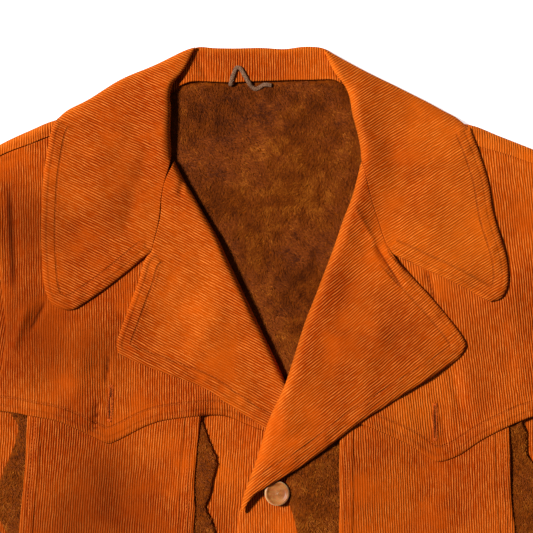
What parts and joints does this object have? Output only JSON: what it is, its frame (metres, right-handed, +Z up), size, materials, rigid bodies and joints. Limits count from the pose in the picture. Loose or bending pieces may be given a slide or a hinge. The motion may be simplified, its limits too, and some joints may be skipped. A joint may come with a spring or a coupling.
{
  "type": "sherpa lined jacket",
  "caption": "Hip-length corduroy jacket with a brown pile lining, wide collar and lapels, western yokes and vertical panels, buttoned and laid flat on its back.",
  "frame": {"origin": "under the middle of the laid-out jacket's outline, on the surface that it rests on", "axes": "+X to the right of someone looking down on the front, +Y towards the collar, +Z up, away from the surface"},
  "size_m": [0.953, 0.7412, 0.0315],
  "materials": {
    "corduroy": "burnt orange cotton corduroy, about 13 wales to the inch",
    "pile": "dark brown brushed pile",
    "button_resin": "translucent amber resin",
    "braid": "grey-brown flat braid",
    "thread": "orange sewing thread and the purple-brown thread of the buttonholes"
  },
  "bodies": {
    "root": {"back": "corduroy", "front_left": "corduroy", "front_right": "corduroy", "yoke_left": "corduroy", "yoke_right": "corduroy", "panel_left": "corduroy", "panel_right": "corduroy", "shoulder_left": "corduroy", "shoulder_right": "corduroy", "sleeve_left_upper": "corduroy", "sleeve_left_under": "corduroy", "sleeve_right_upper": "corduroy", "sleeve_right_under": "corduroy", "collar_left": "corduroy", "collar_right": "corduroy", "collar_back": "corduroy", "collar_stand_back": "corduroy", "collar_stand_left": "corduroy", "collar_stand_right": "corduroy", "lapel_left": "corduroy", "lapel_right": "corduroy", "back_lining": "pile", "pile_strip_left_outer": "pile", "pile_strip_left_inner": "pile", "pile_strip_right_inner": "pile", "pile_strip_right_outer": "pile", "button_1": "button_resin", "button_2": "button_resin", "button_3": "button_resin", "hanger_loop": "braid"}
  },
  "joints": []
}
